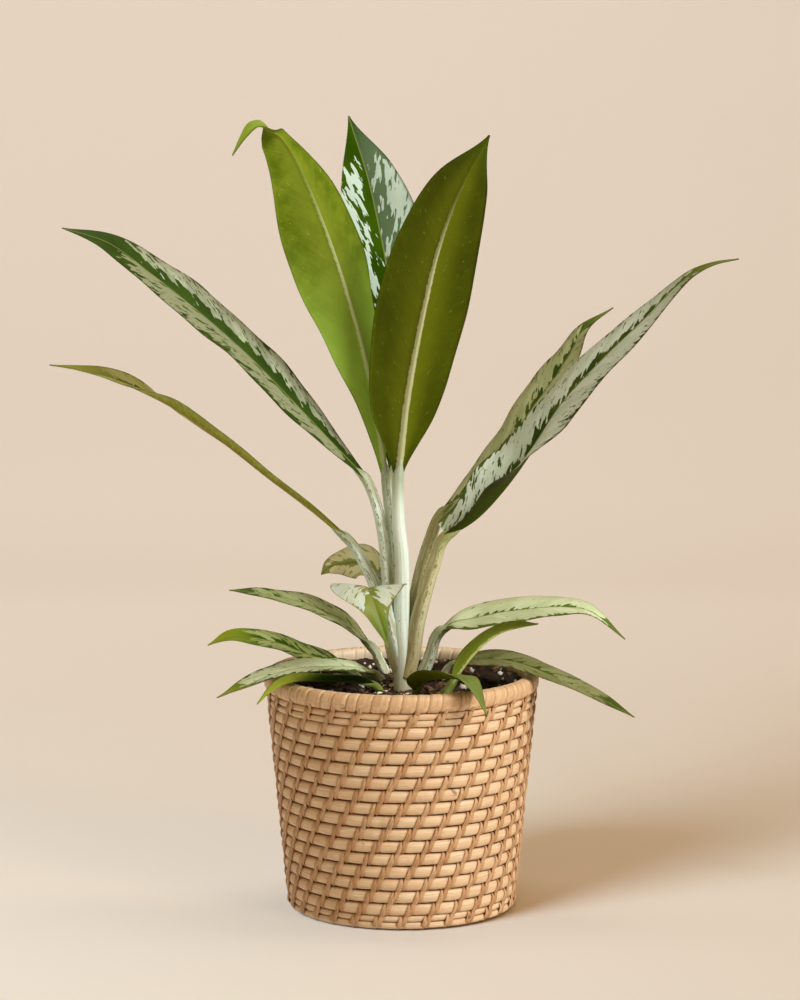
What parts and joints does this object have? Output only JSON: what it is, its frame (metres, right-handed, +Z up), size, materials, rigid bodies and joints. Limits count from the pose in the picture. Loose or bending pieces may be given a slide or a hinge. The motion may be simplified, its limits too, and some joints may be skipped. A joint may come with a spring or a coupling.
{
  "type": "potted chinese evergreen",
  "caption": "Potted foliage plant with long silver-green blades on pale clasping stalks, in a tapered coiled and lashed rattan basket.",
  "frame": {"origin": "middle of the basket's flat underside", "axes": "+Z up along the basket's axis; -Y towards the side the picture shows"},
  "size_m": [0.4204, 0.1773, 0.4873],
  "materials": {
    "rattan": "satin",
    "rim_rattan": "satin",
    "liner": "matte",
    "soil": "matte",
    "stalk": "satin",
    "leaf": "satin"
  },
  "bodies": {
    "root": {"basket_wall": "rattan", "basket_rim": "rim_rattan", "liner": "liner", "soil": "soil", "shoot_stalks": "stalk", "leaf_tall_front": "leaf", "leaf_tall_left": "leaf", "leaf_tall_back": "leaf", "leaf_left_high": "leaf", "leaf_left_low": "leaf", "leaf_right_near": "leaf", "leaf_right_far": "leaf", "leaf_drooping": "leaf", "leaf_small_behind": "leaf", "side_leaf_left_1": "leaf", "side_leaf_left_2": "leaf", "side_leaf_left_3": "leaf", "side_leaf_left_4": "leaf", "side_leaf_right_1": "leaf", "side_leaf_right_2": "leaf", "side_leaf_right_3": "leaf", "side_leaf_front": "leaf"}
  },
  "joints": []
}
